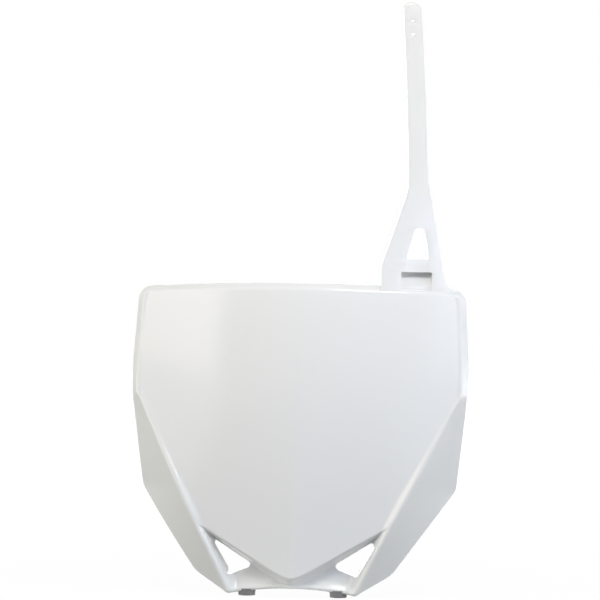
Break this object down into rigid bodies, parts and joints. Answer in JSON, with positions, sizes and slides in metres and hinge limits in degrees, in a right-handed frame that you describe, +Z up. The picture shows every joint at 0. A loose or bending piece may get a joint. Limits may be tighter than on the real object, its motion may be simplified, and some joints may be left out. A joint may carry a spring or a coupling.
{
  "type": "racing number board",
  "caption": "Front number board for an off-road racing motorbike: a crowned panel with folded side flanks, a vented chin, locating pegs and a buttoned handlebar strap.",
  "frame": {"origin": "midway between the flat ends of the two locating pegs", "axes": "+Z up along the pegs and towards the strap, -Y out of the face, +X to the right of someone who looks at the face"},
  "size_m": [0.2402, 0.0637, 0.416],
  "materials": {
    "white_plastic": "semi-gloss injection-moulded polypropylene"
  },
  "bodies": {
    "root": {"number_board": "white_plastic"}
  },
  "joints": []
}
